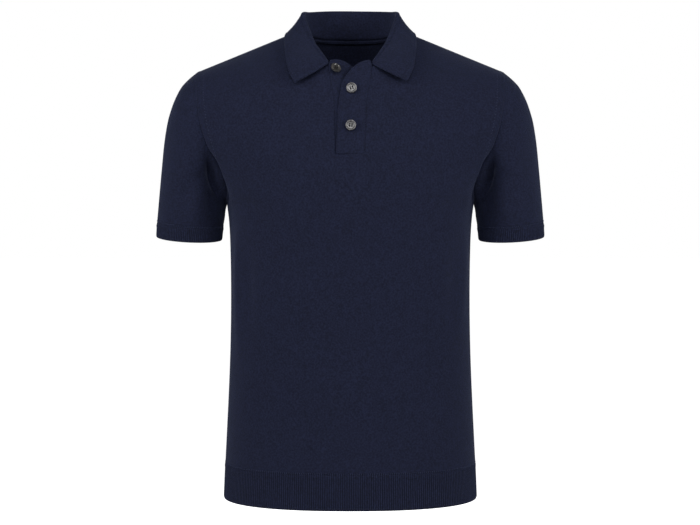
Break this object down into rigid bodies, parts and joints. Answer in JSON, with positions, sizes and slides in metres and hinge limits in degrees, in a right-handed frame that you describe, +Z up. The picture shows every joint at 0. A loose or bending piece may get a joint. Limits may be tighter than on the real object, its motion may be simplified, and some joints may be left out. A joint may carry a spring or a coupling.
{
  "type": "polo shirt",
  "caption": "Fine-knit short-sleeved polo shirt, filled out as worn and hollow, with a soft turned-down collar, an open buttoned placket, ribbed cuffs and a deep ribbed hem.",
  "frame": {"origin": "middle of the neck, level with the top of the shoulder seams, where the wearer's neck and shoulders carry the shirt", "axes": "+Z up the body, the front faces -Y, +X towards the wearer's left sleeve"},
  "size_m": [0.5628, 0.23, 0.7092],
  "materials": {
    "navy_knit": "fine plain knit, matt, with a faint bluish nap at grazing angles",
    "navy_rib": "fine vertical rib knit, matt",
    "horn_button": "smoky grey horn look, satin gloss, four holes"
  },
  "bodies": {
    "root": {"front": "navy_knit", "back": "navy_knit", "sleeve_left": "navy_knit", "sleeve_right": "navy_knit", "collar": "navy_knit", "neck_band": "navy_knit", "placket_upper": "navy_knit", "placket_under": "navy_knit", "cuff_left": "navy_rib", "cuff_right": "navy_rib", "hem_rib_front": "navy_rib", "hem_rib_back": "navy_rib", "button_top": "horn_button", "button_middle": "horn_button", "button_bottom": "horn_button"}
  },
  "joints": []
}
